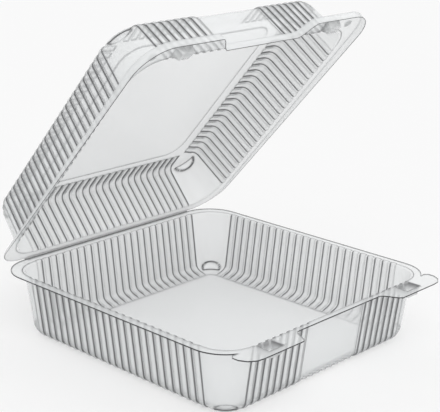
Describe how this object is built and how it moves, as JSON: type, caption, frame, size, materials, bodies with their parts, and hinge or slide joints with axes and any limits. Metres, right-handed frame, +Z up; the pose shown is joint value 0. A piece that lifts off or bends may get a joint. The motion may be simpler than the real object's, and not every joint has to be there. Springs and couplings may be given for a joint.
{
  "type": "clear hinged container",
  "caption": "Clear fluted food container: a square tray and a fold-over lid of one sheet, joined by a crease, with snap bosses on the lid and sockets in the tray's tabs, shown part open.",
  "frame": {"origin": "on the flat underside of the tray, midway along both rows of flutes", "axes": "+X to the right along the front, +Y from the front tabs towards the hinge crease, +Z up"},
  "size_m": [0.2116, 0.2431, 0.2224],
  "materials": {
    "tray_sheet": "clear, glossy thermoformed sheet",
    "lid_sheet": "clear, glossy thermoformed sheet"
  },
  "bodies": {
    "tray": {"tray": "tray_sheet"},
    "lid": {"lid": "lid_sheet"}
  },
  "joints": [
    {"name": "lid_hinge", "type": "hinge", "parent": "tray", "child": "lid", "pos_m": [0, 0.1084, 0.04615], "axis": [-1, 0, 0], "range_deg": [-48.9, 131.1]}
  ]
}
